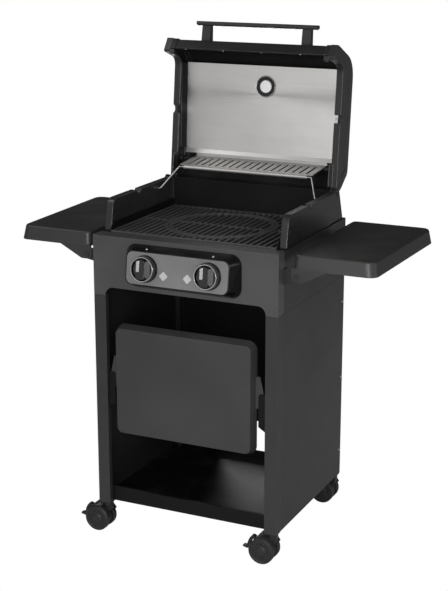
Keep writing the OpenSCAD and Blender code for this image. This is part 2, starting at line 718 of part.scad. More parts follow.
module grease_tray() color("#8d8d8d") at_cart() difference() {
    union() {
        box([-tray_w / 2, tray_front, tray_z], [tray_w / 2, tray_back, tray_z + tray_lip]);
        both_sides() box([tray_w / 2 - 1, tray_front, tray_z + tray_lip - 1.5],
            [tray_w / 2 + 7, tray_back - 8, tray_z + tray_lip]);
        box([-60, tray_back - 0.5, tray_z + 4], [60, tray_back + 16, tray_z + 6]);
        // lips that the cup's rim slides in
        both_sides() {
            box([cup_r + 7, tub_mid - 44, tray_z - 5.6], [cup_r + 8.5, tub_mid + 44, tray_z + 0.5]);
            box([cup_r + 2.5, tub_mid - 44, tray_z - 5.6], [cup_r + 8.5, tub_mid + 44, tray_z - 4.1]);
        }
        box([-cup_r - 8.5, tub_mid + 47, tray_z - 5.6], [cup_r + 8.5, tub_mid + 48.5, tray_z + 0.5]);
    }
    box([-tray_w / 2 + 1.2, tray_front + 1.2, tray_z + 1.2], [tray_w / 2 - 1.2, tray_back - 1.2, tray_z + 40]);
    translate([0, tub_mid, tray_z - 1]) cylinder(r = 9, h = 4);
}

cup_r = 40;
module grease_cup() color("#9a9a9a") at_cart() translate([0, tub_mid, tray_z]) difference() {
    union() {
        translate([0, 0, -34]) cylinder(r = cup_r, h = 31);
        translate([0, 0, -4.1]) cylinder(r = cup_r + 6, h = 1.4);
    }
    translate([0, 0, -32.8]) cylinder(r = cup_r - 1.2, h = 40);
}

// Runners under the firebox that the tray's rims slide on
module tray_rails() color("#3a3a3a") at_cart() both_sides() {
    x = tray_w / 2 + 1;
    z = tray_z + tray_lip - 1.5;
    box([x, tray_front, z - 1.5], [x + 9, cart_d - sheet - 1, z]);
    box([x + 7.5, tray_front, z - 1.5], [x + 9, cart_d - sheet - 1, z + 14]);
    for (y = [tray_front, cart_d - 28]) {
        box([x + 7.5, y, z + 12.5], [half_w - sheet, y + 18, z + 14]);
        box([half_w - 2 * sheet, y, z - 6], [half_w - sheet, y + 18, z + 14]);
    }
}

// ---- Grates ---------------------------------------------------------------------------

grate_x = tub_x - tub_t - 1;
grate_y0 = tub_front + tub_t + 1;
grate_y1 = tub_back - tub_t - 1;
insert_r = insert_d / 2;

module bars(x_from, x_to, y0, y1) {
    n = floor((x_to - x_from) / bar_pitch / 2);
    mid = (x_from + x_to) / 2;
    for (i = [-n : n]) translate([mid + i * bar_pitch, y1, 0]) rotate([90, 0, 0])
        linear_extrude(y1 - y0) polygon([[-bar_w / 2 + 1.2, -grate_t], [bar_w / 2 - 1.2, -grate_t],
            [bar_w / 2, -1], [bar_w / 2 - 1, 0], [-bar_w / 2 + 1, 0], [-bar_w / 2, -1]]);
}

// One half: bars in a frame, cut out round the insert, with a seat ring below
module grate_half() {
    split = 0.4;
    difference() {
        union() {
            bars(-grate_x + bar_w / 2, grate_x - bar_w / 2, grate_y0, grate_y1);
            for (y = [grate_y0, grate_y1 - 8]) box([-grate_x, y, -grate_t], [grate_x, y + 8, -1]);
            for (y = [tub_mid - 4]) box([-grate_x, y, -grate_t], [grate_x, y + 8, -1.5]);
            both_sides() box([grate_x - 6, grate_y0, -grate_t], [grate_x, grate_y1, 0]);
            box([-6, grate_y0, -grate_t], [6, grate_y1, 0]);
            translate([0, tub_mid, -grate_t]) cylinder(r = insert_r + 12, h = grate_t, $fn = 64);
        }
        translate([0, tub_mid, -grate_t + 4]) cylinder(r = insert_r + 2, h = grate_t, $fn = 64);
        translate([0, tub_mid, -grate_t - 1]) cylinder(r = insert_r - 8, h = grate_t + 2, $fn = 64);
        box([-grate_x - 1, tub_front - 9, -grate_t - 1], [split, tub_back + 9, 1]);
    }
}

module grate_left() color("#3c3c3b") at_top() translate([0, 0, grate_z]) scale_x(-1) grate_half();
module grate_right() color("#3c3c3b") at_top() translate([0, 0, grate_z]) grate_half();

module grate_round() color("#444443") at_top() translate([0, tub_mid, grate_z]) difference() {
    union() {
        intersection() {
            bars(-insert_r, insert_r, -insert_r, insert_r);
            translate([0, 0, -grate_t + 4]) cylinder(r = insert_r - 4, h = grate_t, $fn = 64);
        }
        difference() {
            translate([0, 0, -grate_t + 4]) cylinder(r = insert_r, h = grate_t - 4, $fn = 64);
            translate([0, 0, -grate_t]) cylinder(r = insert_r - 9, h = 2 * grate_t, $fn = 64);
        }
        box([-insert_r + 6, -5, -grate_t + 4], [insert_r - 6, 5, -1.5]);
    }
    // two grip slots for the lifter
    for (s = [-1, 1]) translate([0, s * insert_r * 0.62, -grate_t])
        cylinder(r = 3.5, h = 2 * grate_t, $fn = 16);
}

// ---- Lid ------------------------------------------------------------------------------

module lid_shell() color("#3b3b3a") lid_swing() difference() {
    along_x(-end_x + seat_gap, 2 * end_x - 2 * seat_gap) polygon(strip(lid_skin, -skin_t));
    translate([gauge_x, gauge_y, mouth_z]) cylinder(r = 5 + seat_gap, h = lid_h);
}

// End casting: outer plate, rim that follows the outline, liner rail, rack boss and hinge ear
module lid_end() difference() {
    union() {
        difference() {
            along_x(end_x, end_t) polygon(end_outline);
            along_x(end_x - 1, end_t - casting_wall + 1) polygon(beside(end_outline, casting_wall, true));
        }
        // rail behind the liner
        along_x(liner_x - 6, end_x + end_t - 1 - liner_x + 6) polygon([
            [liner_y0 + 2, liner_z(liner_y0 + 2) + seat_gap],
            [liner_y1 - 1, liner_z(liner_y1 - 1) + seat_gap], [liner_y1 - 1, liner_z(liner_y1) + 5],
            [liner_y0 + 2, liner_z(liner_y0) + 5]]);
        rod_x(pin_in_lid, rack_pin_r + 5, end_x, end_x + end_t - 1);
        // inner cheek that hangs inside the firebox wall
        along_x(end_x + 0.2, 3) polygon([[357, 67], [hinge_y - boss_r - 4, 67],
            [hinge_y - boss_r - 4, mouth_z + 4], [357, mouth_z + 4]]);
        // thicker nose behind the front corner, a cap over the sheet's corner and a block below it
        along_x(end_x, end_t) polygon([[22, 41], [57, 17], [64, 48], [34, 60]]);
        along_x(end_x - 13, 14) polygon(rounded([[51, 16, 0], [63, 13, 3], [68, 26, 3], [53, 29, 0]], true));
        along_x(end_x - 14, 15) polygon(strip(beside(rounded([[49, 18, 0], [22, 41, 7], [30, 66, 0]]), seat_gap),
            end_proud));
    }
    // clearance round the casting's boss, and the spit notch
    rod_x([hinge_y, hinge_z], boss_r + 3, end_x - 6, end_x + end_t + 1);
    rod_x([notch_y, mouth_z], notch_r, end_x - 12, end_x + end_t + 1);
    // shallow panel pressed into the outer face
    along_x(end_x + end_t - 1, 2)
        polygon(rounded([[92, 112, 10], [404, 112, 10], [372, 158, 14], [104, 158, 14]], true));
    rod_x(pin_in_lid, rack_pin_r + run_fit, end_x - 1, end_x + end_t - 3);
}

// Ear with the hinge bore, joined to the end casting beyond the boss
module lid_ear() difference() {
    union() {
        rod_x([hinge_y, hinge_z], boss_r - 3, ear_x0, ear_x0 + ear_w);
        along_x(ear_x0, ear_w) polygon([[hinge_y - 10, hinge_z + 4], [hinge_y + 4, hinge_z + 10],
            [432, mouth_z + 24], [hinge_y - 26, mouth_z + 24]]);
    }
    rod_x([hinge_y, hinge_z], hinge_d / 2 + run_fit, ear_x0 - 1, ear_x0 + ear_w + 1);
}

module lid_left_end() color("#383838") lid_swing() scale_x(-1) { lid_end(); lid_ear(); }
module lid_right_end() color("#383838") lid_swing() { lid_end(); lid_ear(); }

// Place of the lid's front face at height z
function face_at(z) = lid_path[2][0] + (z - lid_path[2][1])
    * (lid_path[3][0] - lid_path[2][0]) / (lid_path[3][1] - lid_path[2][1]);

// Stainless panel inside the lid: turned front edge, bent rear strip, hole round the gauge
module lid_liner() color("#b5b0ad") lid_swing() difference() {
    union() {
        along_x(-liner_x, 2 * liner_x) polygon(strip([[liner_y0 + 1, liner_z(liner_y0) + 12],
            [liner_y0, liner_z(liner_y0)], [liner_y1, liner_z(liner_y1)],
            [liner_y1 + 12, liner_z(liner_y1) - 7]], -1));
    }
    translate([gauge_x, gauge_y, mouth_z]) cylinder(r = gauge_d / 2 + 2, h = lid_h - mouth_z - 12);
}

// Bar and two posts; the posts stand on the lid's front face
module lid_handle() color("#2b2b2b") lid_swing() {
    bar_y = face_at(handle_z - 13) - handle_reach;
    difference() {
        along_x(-handle_l / 2, handle_l) polygon(rounded([
            [bar_y, handle_z - 13, 5], [bar_y + handle_t, handle_z - 13, 5],
            [bar_y + handle_t, handle_z + 13, 5], [bar_y, handle_z + 13, 5]], true));
        both_sides() translate([handle_l / 2, bar_y + handle_t + 2, handle_z]) rotate([0, 0, 45])
            cube([9, 14, 60], center = true);
    }
    both_sides() translate([handle_x, 0, 0]) along_x(-13, 26) polygon([[bar_y + handle_t - 1, handle_z - 9],
        [face_at(handle_z - 13), handle_z - 13], [face_at(handle_z + 13), handle_z + 13],
        [bar_y + handle_t - 1, handle_z + 9]]);
}

// Gauge on the lid's roof: bezel cup, dial, shroud down to the liner, probe and nut
module gauge_axis() lid_swing() translate([gauge_x, gauge_y, gauge_base]) children();

module gauge_case() color("#b9b9b9") gauge_axis() {
    r = gauge_d / 2;
    rotate_extrude($fn = 48) polygon([[0, 0], [r - 5, 0], [r - 1, 4], [r, 12], [r - 2, 14], [r - 4, 12.5],
        [r - 4, 8], [0, 8]]);
    translate([0, 0, gauge_low + 1]) cylinder(r = 5, h = 1 - gauge_low);
    translate([0, 0, -12]) cylinder(r = 10, h = 8, $fn = 6);
    // inner end: bright rim round a sunk face with a raised middle
    translate([0, 0, gauge_low]) rotate_extrude($fn = 48) polygon([
        [0, 0], [r / 2, 0], [r / 2 + 1, 2], [r - 1.5, 2],
        [r - 0.5, -1], [r + 1, -1], [r + 1, 9], [r - 1.5, 9], [r - 1.5, 4], [0, 4]]);
}

module gauge_glass() color("lightblue", 0.4) gauge_axis() translate([0, 0, 10.6])
    cylinder(r = gauge_d / 2 - 4 - seat_gap, h = 1.6, $fn = 48);

module gauge_needle() color("orangered") gauge_axis() translate([0, 0, 8 + seat_gap]) {
    cylinder(r = 3, h = 1.2);
    linear_extrude(0.8) polygon([[-1.6, -6], [1.6, -6], [0.4, gauge_d / 2 - 9], [-0.4, gauge_d / 2 - 9]]);
}

// ---- Warming rack ---------------------------------------------------------------------

rack_pin_r = 3;
rack_t = 1.5;
roll_x = rack_w / 2 - 16;
bracket_x = rack_w / 2 + 2;

// Local frame: origin at the front pivot, y along the plate to the rear pins
module rack_frame() at_top() translate([0, rack_front[0], rack_front[1]]) rotate([rack_tilt, 0, 0]) children();

module warming_rack() color("#c4c0bb") rack_frame() difference() {
    union() {
        box([-rack_w / 2, 0, 4], [rack_w / 2, rack_d - 6, 4 + rack_t]);
        rod_x([0, 0], 5.5, -roll_x, roll_x);
        box([-rack_w / 2, rack_d - 6 - rack_t, 4], [rack_w / 2, rack_d - 6, 16]);
    }
    for (i = [0 : slot_count - 1])
        translate([(i - (slot_count - 1) / 2) * (rack_w - 24) / slot_count, rack_d / 2 - 6, 0])
        cube([7, rack_d - 44, 20], center = true);
    for (s = [-1, 1]) rod_x([0, 0], wire_d / 2 + 0.5, s * roll_x - 26, s * roll_x + 26);
    both_sides() box([roll_x, -1, 0], [rack_w / 2 + 1, 6, 20]);
}

// Dark brackets under the rack's ends, with its rear pins
module rack_brackets() color("#222222") rack_frame() both_sides() {
    along_x(bracket_x - 2, 2) polygon(rounded([[8, 6, 0], [rack_l - 16, 6, 0], [rack_l + 7, 5, 3],
        [rack_l + 7, -6, 5], [rack_l - 10, -6, 0], [rack_l - 20, 0, 0], [12, -3, 3], [8, -3, 3]], true));
    rod_x([rack_l, 0], rack_pin_r, bracket_x - 1, end_x + end_t - 5);
    rod_x([rack_l, 0], rack_pin_r + 3, bracket_x - 1, end_x - 8);
}

// Bent wire legs: an end in the firebox casting, an end in the rack's rolled front edge
module wire(path) for (i = [0 : len(path) - 2]) {
    d = path[i + 1] - path[i];
    translate(path[i]) rotate([0, acos(d[2] / norm(d)), atan2(d[1], d[0])])
        translate([0, 0, i > 0 ? -wire_d * 0.2 : 0])
            cylinder(r = wire_d / 2 - 0.04 * i, h = norm(d) + wire_d * 0.2);
}

module rack_legs() color("#c9c9c9") at_top() both_sides() wire([
    [casting_x + casting_wall + 4, leg_foot[0], leg_foot[1]],
    [casting_x - 10, leg_foot[0], leg_foot[1]],
    [bracket_x - 3, rack_front[0], rack_front[1]],
    [roll_x - 18, rack_front[0], rack_front[1]]]);

// ---- Pins, griddle plate, shelves -----------------------------------------------------

module pivot_pins() color("silver") {
    at_top() both_sides() {
        rod_x([hinge_y, hinge_z], hinge_d / 2, casting_x - 1, casting_x + casting_t + 2);
        rod_x([hinge_y, hinge_z], hinge_d / 2 + 1.5, casting_x + casting_t + seat_gap, casting_x + casting_t + 2.5);
    }
    at_cart() both_sides() shelf_ends() translate([pivot_x, gusset_y, pivot_z]) rotate([-90, 0, 0]) {
        translate([0, 0, -seat_gap - 3]) cylinder(r = shelf_pin_d / 2, h = pin_l + 3 + seat_gap);
        translate([0, 0, -seat_gap - 3.5]) cylinder(r = shelf_pin_d / 2 + 3, h = 3.5);
        translate([0, 0, pin_l - 4]) cylinder(r = shelf_pin_d / 2 + 3, h = 4, $fn = 6);
    }
}

module griddle_shape(w, h, r, y0, y1, lip) hull() {
    translate([0, y0 + 0.1, griddle_z]) rotate([90, 0, 0]) linear_extrude(0.1) round_rect(w, h, r);
    translate([0, y1, griddle_z]) rotate([90, 0, 0]) linear_extrude(0.1) round_rect(w + 2 * lip, h + 2 * lip, r + lip);
}

// Dished plate that hangs with its flat underside to the front, on an ear at each side
module griddle_plate() color("#2f2f2e") at_cart() {
    rim_y = griddle_face + griddle_depth;
    difference() {
        griddle_shape(griddle_w, griddle_h, 16, griddle_face, rim_y, flare);
        griddle_shape(griddle_w - 2 * griddle_t, griddle_h - 2 * griddle_t, 12, griddle_face + griddle_t, rim_y + 0.2, flare);
    }
    for (x = [-1, 1], z = [-1, 1])
        translate([x * (griddle_w / 2 - 11), griddle_face + 0.5, griddle_z + z * (griddle_h / 2 - 11)])
        rotate([90, 0, 0]) cylinder(r = 5, h = 2.5);
    both_sides() along_y(ear_y, griddle_t) polygon([[griddle_w / 2 + 4, ear_low], [ear_x, ear_low], [ear_x, ear_top - 42],
        [ear_x - 10, ear_top], [griddle_w / 2 + 4, ear_top]]);
}

// Front and rear copies of what is drawn at the shelf's front
module shelf_ends() {
    children();
    translate([0, 2 * shelf_front + shelf_d, 0]) mirror([0, 1, 0]) children();
}

// Four upright discs at a level's corners: small ones by the cart, large ones outside
module shelf_level(z, grow, r) for (back = [0, 1]) {
    in_r = r * 0.6;
    y = back ? shelf_front + shelf_d + grow : shelf_front - grow;
    side = back ? -1 : 1;
    translate([shelf_x - grow / 2 + in_r, y + side * in_r, z]) cylinder(r = in_r, h = 0.5);
    translate([shelf_x + shelf_l + back * shelf_skew + grow - r, y + side * r, z]) cylinder(r = r, h = 0.5);
}

// Flat tray turned upside down, with a rounded top edge and a flared skirt
module shelf_skin(wall) hull() {
    top = shelf_top - 0.5 - wall;
    shelf_level(top, -shelf_bevel - wall, shelf_r - shelf_bevel);
    shelf_level(top - 1.2, -shelf_bevel * 0.4 - wall, shelf_r - shelf_bevel * 0.4);
    shelf_level(top - shelf_bevel, -wall, shelf_r);
    shelf_level(shelf_top - skirt_h - (wall > 0 ? 1 : 0), shelf_flare - wall, shelf_r);
}

module shelf() {
    difference() {
        shelf_skin(0);
        shelf_skin(shelf_t);
    }
    // the skirt's ends reach down to the pivots
    shelf_ends() difference() {
        along_y(gusset_y, gusset_t) polygon(rounded([
            [pivot_x - 14, pivot_z - 14, 12], [pivot_x + 18, pivot_z - 14, 16],
            [pivot_x + 88, shelf_top - skirt_h + 1, 0], [pivot_x + 88, shelf_top - skirt_h + 5, 0],
            [pivot_x - 8, shelf_top - skirt_h + 5, 0], [pivot_x - 14, shelf_top - skirt_h, 4]], true));
        translate([pivot_x, gusset_y - 1, pivot_z]) rotate([-90, 0, 0])
            cylinder(r = shelf_pin_d / 2 + run_fit, h = gusset_t + 2);
    }
    // stiffening ribs under the top
    rib_x = shelf_x + shelf_bevel + 1;
    for (i = [1 : 3]) box([rib_x, shelf_front + i * shelf_d / 4, shelf_top - 18],
        [rib_x + shelf_l - 2 * shelf_bevel - 2, shelf_front + i * shelf_d / 4 + 2.5, shelf_top - shelf_t / 2]);
}

module left_shelf() color("#3a3938") at_cart() scale_x(-1) shelf();
module right_shelf() color("#3a3938") at_cart() shelf();

// Galvanised angle brackets on the cart's sides, just inside the shelves' ears
module shelf_brackets() color("#a8a8a4") at_cart() both_sides() shelf_ends() {
    y = gusset_y + gusset_t + seat_gap;
    difference() {
        along_y(y, bracket_t) polygon(rounded([[half_w, pivot_z - 22, 0], [pivot_x + 11, pivot_z - 13, 10],
            [pivot_x + 11, pivot_z + 12, 10], [half_w + 16, pivot_z + 19, 4], [half_w, pivot_z + 19, 0]], true));
        translate([pivot_x, y - 1, pivot_z]) rotate([-90, 0, 0])
            cylinder(r = shelf_pin_d / 2 + run_fit, h = bracket_t + 2);
    }
    box([half_w, y, pivot_z - 22], [half_w + bracket_t, y + 24, pivot_z + 19]);
}

// ---- Casters --------------------------------------------------------------------------

wheel_r = wheel_d / 2;
hood_w = 20;
wheel_gap = 1;
press_gap = 0.02;

// Place of a caster's swivel axis: s is the side, y its distance behind the fascia
module at_caster(s, y) at_cart() translate([s * (half_w - stem_inset), y, 0]) children();

// Body between the wheels: hub, crown over the wheels, boss and stem; the wheels trail to -x
module caster_body(brake) {
    difference() {
        union() {
            translate([-trail, hood_w / 2, wheel_r]) rotate([90, 0, 0]) cylinder(r = wheel_r - 5, h = hood_w);
            translate([-trail, hood_w / 2, wheel_r]) rotate([90, 0, 0]) linear_extrude(hood_w)
                polygon([[-6, 20], [-6, 38], [trail + 14, 46], [trail + 14, 30], [26, 6]]);
            translate([0, 0, 2 * wheel_r + 2]) cylinder(r = 14, h = socket_z - seat_gap - 2 * wheel_r - 2);
            translate([-trail, 0, 0]) intersection() {
                translate([0, wheel_w + hood_w / 2, wheel_r]) rotate([90, 0, 0]) difference() {
                    cylinder(r = wheel_r + 5, h = 2 * wheel_w + hood_w);
                    translate([0, 0, -1]) cylinder(r = wheel_r + 2, h = 2 * wheel_w + hood_w + 2);
                }
                box([-16, -40, wheel_r + 20], [40, 40, wheel_r + 45]);
            }
        }
        translate([-trail, hood_w, wheel_r]) rotate([90, 0, 0])
            cylinder(r = axle_d / 2 + run_fit, h = 2 * hood_w);
        if (brake) {
            box([-trail - wheel_r - 1, -7.5, wheel_r + 7], [-trail - 9, 7.5, wheel_r + 34]);
            translate([brake_pivot[0], 20, brake_pivot[1]]) rotate([90, 0, 0])
                cylinder(r = 2 + run_fit, h = 40);
        }
    }
    cylinder_stem();
}

module cylinder_stem() translate([0, 0, wheel_r + 40])
    cylinder(r = caster_stem_d / 2, h = socket_z + 30 - wheel_r - 40);

module caster_front_left() color("#202020") at_caster(-1, stem_inset) caster_body(true);
module caster_front_right() color("#202020") at_caster(1, stem_inset) caster_body(true);
module caster_rear_left() color("#202020") at_caster(-1, cart_d - stem_inset) caster_body(false);
module caster_rear_right() color("#202020") at_caster(1, cart_d - stem_inset) caster_body(false);

// Pair of wheels on one axle, with slotted outer faces and a raised hub cap
module wheel_pair() translate([-trail, 0, wheel_r]) rotate([90, 0, 0]) {
    axle_l = hood_w + 2 * wheel_gap - 2 * press_gap;
    translate([0, 0, -axle_l / 2]) cylinder(r = axle_d / 2, h = axle_l);
    for (s = [0, 180]) rotate([s, 0, 0]) translate([0, 0, hood_w / 2 + wheel_gap]) difference() {
        rotate_extrude($fn = 40) polygon([[0, 0], [wheel_r - 1.5, 0], [wheel_r, 1.5], [wheel_r, wheel_w - 3],
            [wheel_r - 3, wheel_w], [wheel_r - 6, wheel_w], [wheel_r - 8, wheel_w - 2.5], [15, wheel_w - 2.5],
            [12, wheel_w], [0, wheel_w + 0.6]]);
        for (i = [0 : spoke_count - 1]) rotate([0, 0, i * 360 / spoke_count])
            translate([21.5, 0, wheel_w - 2]) cube([9, 2.6, 6], center = true);
    }
}

module wheels_front_left() color("#2a2a2a") at_caster(-1, stem_inset) wheel_pair();
module wheels_front_right() color("#2a2a2a") at_caster(1, stem_inset) wheel_pair();
module wheels_rear_left() color("#2a2a2a") at_caster(-1, cart_d - stem_inset) wheel_pair();
module wheels_rear_right() color("#2a2a2a") at_caster(1, cart_d - stem_inset) wheel_pair();

// Brake pedal: a lever in the crown's slot that follows the wheels' rim on the trailing side
brake_pivot = [-trail - 16, wheel_r + 14];
module brake_pedal() {
    arc = [for (a = [136 : 8 : 184]) a];
    along_y(-7, 14) translate([-trail, wheel_r]) polygon(concat(
        [[-13, 19], [-12, 11], [-20, 9], [-32, 26]],
        [for (a = arc) (wheel_r + 4) * [cos(a), sin(a)]],
        [[-wheel_r - 12, -7], [-wheel_r - 25, -4], [-wheel_r - 26, 0], [-wheel_r - 13, 2]],
        [for (i = [len(arc) - 2 : -1 : 0]) (wheel_r + 12) * [cos(arc[i]), sin(arc[i])]], [[-29, 34]]));
    translate([brake_pivot[0], 9.6, brake_pivot[1]]) rotate([90, 0, 0]) cylinder(r = 2, h = 19.2);
}

module brake_left() color("#151515") at_caster(-1, stem_inset) brake_pedal();
module brake_right() color("#151515") at_caster(1, stem_inset) brake_pedal();

// ---- Fasteners ------------------------------------------------------------------------

module screw_head(r, h) cylinder(r1 = r, r2 = r * 0.7, h = h, $fn = 16);

module lid_screws() color("silver") lid_swing() {
    // on the lip's turned edge, on the liner's edges and behind the handle's posts
    lip_lean = atan2(lid_path[0][0] - lid_path[1][0], lid_path[0][1] - lid_path[1][1]);
    for (x = [-200, -80, 40, 160]) translate([x, lid_path[1][0] + 5.5 * tan(lip_lean), lid_path[1][1] + 5.5])
        rotate([-90 - lip_lean, 0, 0]) screw_head(2.6, 2);
    both_sides() for (i = [0 : 2]) {
        y = liner_y0 + 34 + 106 * i;
        translate([liner_x - 5, y, liner_z(y) - 1.005]) rotate([180 + atan(liner_slope), 0, 0])
            screw_head(3, 2);
    }
    both_sides() for (z = [-7, 7]) translate([handle_x, face_at(handle_z + z), handle_z + z])
        rotate([-90 - atan2(lid_path[3][0] - lid_path[2][0], lid_path[3][1] - lid_path[2][1]), 0, 0])
        translate([0, 0, skin_t]) screw_head(3.5, 2.5);
}

module cart_screws() color("silver") at_cart() {
    // on the control housing's top wall, which falls from the fascia to its face
    top_run = console_reach - face_h / 2 * sin(console_tilt) - console_rim;
    top_fall = console_z + console_h / 2 - face_z - face_h / 2 * cos(console_tilt);
    both_sides() translate([knob_pitch / 2 + 5, -console_rim - top_run * 0.6,
        console_z + console_h / 2 - top_fall * 0.6 + 0.01])
        rotate([atan2(top_fall, top_run), 0, 0]) screw_head(4, 2);
    both_sides() for (z = [base_z + 80, (base_z + seam_z) / 2, seam_z - 80])
        translate([half_w, cart_d - 12, z]) rotate([0, 90, 0]) screw_head(4, 2);
}

front_panel();
left_post();
right_post();
left_side_panel();
right_side_panel();
upper_side_panels();
rear_panel();
bottom_shelf();
griddle_hangers();
caster_sockets();
control_housing();
knob_bezels();
knob_left();
knob_right();
knob_left_trim();
knob_right_trim();
valve_stem_left();
valve_stem_right();
valves();
manifold();
electrodes();
firebox();
firebox_left_casting();
firebox_right_casting();
burners();
flame_tamers();
grease_tray();
grease_cup();
tray_rails();
grate_left();
grate_right();
grate_round();
lid_shell();
lid_left_end();
lid_right_end();
lid_liner();
lid_handle();
gauge_case();
gauge_glass();
gauge_needle();
pivot_pins();
warming_rack();
rack_brackets();
rack_legs();
left_shelf();
right_shelf();
shelf_brackets();
caster_front_left();
caster_front_right();
caster_rear_left();
caster_rear_right();
wheels_front_left();
wheels_front_right();
wheels_rear_left();
wheels_rear_right();
brake_left();
brake_right();
griddle_plate();
lid_screws();
cart_screws();
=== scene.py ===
import bpy
import bmesh
import json
import math
from mathutils import Matrix, Vector


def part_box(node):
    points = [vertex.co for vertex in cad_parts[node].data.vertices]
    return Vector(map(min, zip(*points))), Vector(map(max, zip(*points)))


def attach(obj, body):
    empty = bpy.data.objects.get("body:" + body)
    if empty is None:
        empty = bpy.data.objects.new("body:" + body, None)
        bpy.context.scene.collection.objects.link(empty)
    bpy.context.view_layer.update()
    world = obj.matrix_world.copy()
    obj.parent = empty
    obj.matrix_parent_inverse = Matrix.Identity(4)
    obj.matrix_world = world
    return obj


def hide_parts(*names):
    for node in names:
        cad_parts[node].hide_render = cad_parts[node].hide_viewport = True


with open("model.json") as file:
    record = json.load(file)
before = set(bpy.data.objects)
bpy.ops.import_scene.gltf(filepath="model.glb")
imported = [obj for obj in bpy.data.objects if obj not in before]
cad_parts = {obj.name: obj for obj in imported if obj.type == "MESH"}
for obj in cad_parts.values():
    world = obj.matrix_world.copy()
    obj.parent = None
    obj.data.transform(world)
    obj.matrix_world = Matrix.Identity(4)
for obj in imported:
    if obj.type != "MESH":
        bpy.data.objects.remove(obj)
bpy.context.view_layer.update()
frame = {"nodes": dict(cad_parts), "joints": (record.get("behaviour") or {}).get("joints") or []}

# ---- Cart sheets ----
# The cart is folded from 1.5 mm sheet steel, screwed together and powder coated. Its grey is painted
# lighter on the fascia and the posts, as painted light where the key falls, and painted shade makes
# the panels behind them nearly black and those inside the cabinet darker still. It has a fine
# orange-peel grain, and the folds are a little rounded, with paler paint along them.


def shader_group(name, inputs, outputs):
    """An empty shader group with these sockets, and its input and output nodes."""
    group = bpy.data.node_groups.new(name, "ShaderNodeTree")
    for label, kind, value in inputs:
        socket = group.interface.new_socket(label, in_out="INPUT", socket_type="NodeSocket" + kind)
        socket.default_value = value
    for label, kind in outputs:
        group.interface.new_socket(label, in_out="OUTPUT", socket_type="NodeSocket" + kind)
    return group, group.nodes.new("NodeGroupInput").outputs, group.nodes.new("NodeGroupOutput").inputs


def add(tree, kind, values=None, **settings):
    """A shader node. Each value is a number or colour, or the socket that it comes from."""
    node = tree.nodes.new("ShaderNode" + kind)
    for key, value in settings.items():
        setattr(node, key, value)
    for key, value in (values or {}).items():
        if isinstance(value, bpy.types.NodeSocket):
            tree.links.new(value, node.inputs[key])
        else:
            node.inputs[key].default_value = value
    return node


def calc(tree, operation, *values):
    """The result of one sum, product or comparison."""
    return add(tree, "Math", dict(enumerate(values)), operation=operation).outputs[0]


def remap(tree, value, low, high, to_low=0.0, to_high=1.0):
    """The value, stretched from one range to another and kept inside it."""
    return add(tree, "MapRange", {"Value": value, "From Min": low, "From Max": high,
                                  "To Min": to_low, "To Max": to_high}).outputs["Result"]


def noise(tree, place, scale, detail, roughness=0.5):
    """Soft random values round a half."""
    return add(tree, "TexNoise", {"Vector": place, "Scale": scale, "Detail": detail,
                                  "Roughness": roughness}).outputs["Fac"]


def toned(tree, colour, tone):
    """The colour, made lighter or darker by the tone."""
    return add(tree, "VectorMath", {0: colour, "Scale": tone}, operation="SCALE").outputs[0]


def blend_colours(tree, factor, a, b):
    """Colour a where the factor is 0, and b where it is 1."""
    return add(tree, "Mix", {0: factor, 6: a, 7: b}, data_type="RGBA").outputs[2]


def grey(value, warm=0.0):
    """A grey, with a little more red and less blue where it is warm."""
    return (value * (1 + warm), value, value * (1 - warm), 1)


def rounded_edges():
    """Rounds the edges for the light alone, and marks where they are."""
    group, given, result = shader_group("rounded_edges", [("Radius", "Float", 0.001)],
                                        [("Normal", "Vector"), ("Edge", "Float")])
    rounded = add(group, "Bevel", {"Radius": given["Radius"]}, samples=6).outputs[0]
    sharp = add(group, "NewGeometry").outputs["Normal"]
    alike = add(group, "VectorMath", {0: rounded, 1: sharp}, operation="DOT_PRODUCT").outputs["Value"]
    group.links.new(rounded, result["Normal"])
    group.links.new(remap(group, alike, 0.99, 0.75), result["Edge"])
    return group


SURFACE_IN = [("Colour", "Color", (0.1, 0.1, 0.1, 1)), ("Roughness", "Float", 0.5), ("Edge", "Float", 0.0),
              ("Edge Colour", "Color", (0.2, 0.2, 0.2, 1)), ("Grain Size", "Float", 0.001)]
SURFACE_OUT = [("Colour", "Color"), ("Roughness", "Float"), ("Height", "Float")]
DUST = (0.3, 0.29, 0.28, 1)


def powder_coat():
    """Orange-peel grain, cloudy colour, paler paint on edges, part wear and part painted highlight, and a
    little dust on what faces up.
    """
    group, given, result = shader_group("powder_coat", SURFACE_IN, SURFACE_OUT)
    place = add(group, "TexCoord").outputs["Object"]
    grain = noise(group, place, calc(group, "DIVIDE", 1.0, given["Grain Size"]), 2.0)
    cloud = noise(group, place, 5.0, 4.0, 0.6)
    up = add(group, "SeparateXYZ", {0: add(group, "NewGeometry").outputs["Normal"]}).outputs["Z"]
    shade = toned(group, given["Colour"], remap(group, cloud, 0.3, 0.7, 0.86, 1.14))
    # The paler edges are part wear and part painted highlight along the rounded edges.
    edge_wear_and_highlight = calc(group, "MULTIPLY", given["Edge"], remap(group, grain, 0.3, 0.7, 0.25, 0.75))
    worn_and_highlit = blend_colours(group, edge_wear_and_highlight, shade, given["Edge Colour"])
    dust = calc(group, "MULTIPLY", remap(group, up, 0.6, 1.0), remap(group, cloud, 0.45, 0.75, 0.0, 0.12))
    group.links.new(blend_colours(group, dust, worn_and_highlit, DUST), result["Colour"])
    group.links.new(calc(group, "ADD", given["Roughness"], remap(group, cloud, 0.3, 0.7, -0.05, 0.05)),
                    result["Roughness"])
    group.links.new(grain, result["Height"])
    return group


edges = rounded_edges()
coat = powder_coat()


